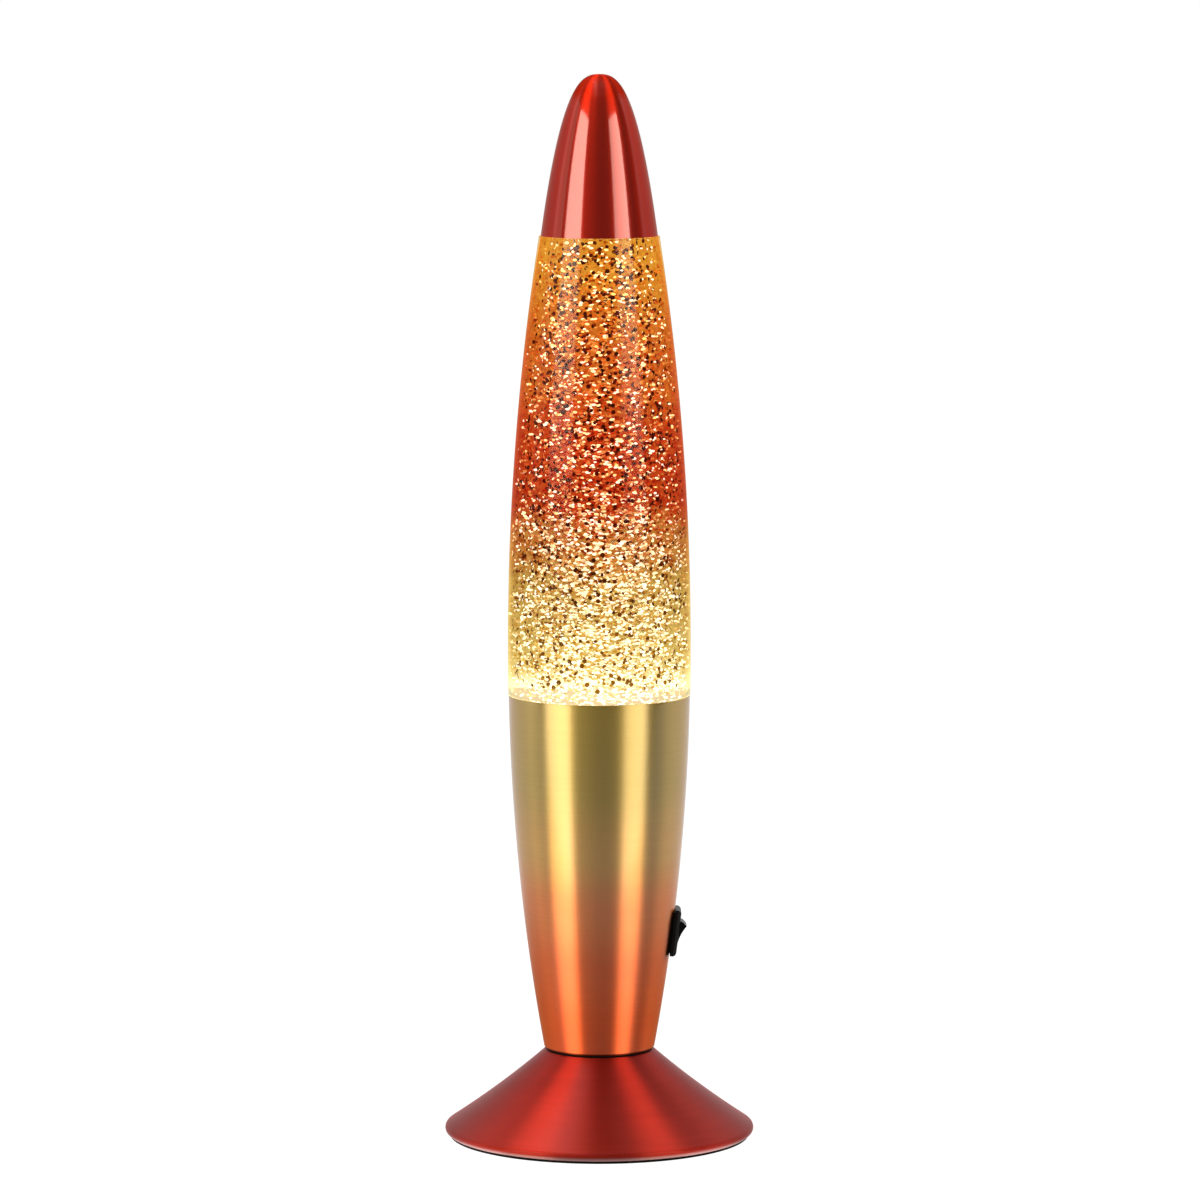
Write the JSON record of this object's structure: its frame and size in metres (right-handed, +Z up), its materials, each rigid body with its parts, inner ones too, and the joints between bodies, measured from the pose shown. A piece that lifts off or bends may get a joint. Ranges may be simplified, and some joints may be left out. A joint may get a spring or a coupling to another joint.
{
  "type": "glitter lamp",
  "caption": "Tapered table lamp: sealed glass bottle of liquid and loose glitter on a spun metal body and cone base, with a lift-off cap, a bulb below the bottle and a rocker switch.",
  "frame": {"origin": "on the table, at the centre of the base's underside", "axes": "+Z up along the lamp's axis, +X towards the switch, -Y towards the front, +Y towards the cord's inlet"},
  "size_m": [0.0992, 0.0992, 0.34],
  "materials": {
    "base_red": "satin brushed, red lacquer",
    "body_ombre": "satin brushed, gold at the rim to copper orange at the foot",
    "cap_red": "glossy metallic red lacquer",
    "foam": "matte",
    "black_rubber": "matte",
    "seal_rubber": "matte",
    "switch_black": "gloss",
    "paddle_black": "gloss",
    "white_plastic": "matte",
    "lead_jacket": "satin",
    "ceramic": "glazed",
    "brass": "bright",
    "steel": "zinc plated",
    "bulb_black": "gloss",
    "bulb_glass": "frosted dome, mirrored sides",
    "stem_glass": "clear",
    "filament": "drawn wire",
    "bottle_glass": "clear gloss",
    "liquid": "clear amber liquid",
    "glitter": "metallised film"
  },
  "bodies": {
    "stand": {"base_pad": "foam", "base_shell": "base_red", "joint_gasket": "black_rubber", "body_shell": "body_ombre", "threaded_nipple": "steel", "spring_washer": "steel", "clamp_nut": "steel", "holder_bush": "brass", "holder_body": "ceramic", "holder_screw_shell": "brass", "holder_tongue": "brass", "holder_terminals": "brass", "terminal_screws": "steel", "switch_housing": "switch_black", "switch_terminals": "brass", "switch_lead": "lead_jacket", "cord_bush": "black_rubber"},
    "paddle": {"switch_paddle": "paddle_black", "paddle_spring": "steel", "paddle_plunger": "white_plastic"},
    "bridge": {"contact_bridge": "brass"},
    "bulb": {"bulb_contact": "steel", "bulb_insulator": "bulb_black", "bulb_screw_cap": "brass", "bulb_envelope": "bulb_glass", "bulb_stem": "stem_glass", "bulb_filament": "filament"},
    "bottle": {"bottle_glass": "bottle_glass", "liquid": "liquid", "glitter_flakes": "glitter", "neck_seal": "seal_rubber", "bottle_closure": "white_plastic"},
    "cap": {"cap_shell": "cap_red", "cap_liner": "foam"}
  },
  "joints": [
    {"name": "paddle_rock", "type": "hinge", "parent": "stand", "child": "paddle", "pos_m": [0.02439, 0, 0.06599], "axis": [0, 1, 0], "range_deg": [-26, 0]},
    {"name": "bridge_rock", "type": "hinge", "parent": "stand", "child": "bridge", "pos_m": [0.01809, 0, 0.06679], "axis": [0, 1, 0], "range_deg": [0, 16]},
    {"name": "bulb_lift", "type": "slide", "parent": "stand", "child": "bulb", "axis": [0, 0, 1], "range_m": [0, 0.022]},
    {"name": "bottle_lift", "type": "slide", "parent": "stand", "child": "bottle", "axis": [0, 0, 1], "range_m": [0, 0.06]},
    {"name": "cap_lift", "type": "slide", "parent": "bottle", "child": "cap", "axis": [0, 0, 1], "range_m": [0, 0.06]}
  ],
  "couplings": [
    {"joint": "bridge_rock", "follows": "paddle_rock", "ratio": -0.6153}
  ]
}
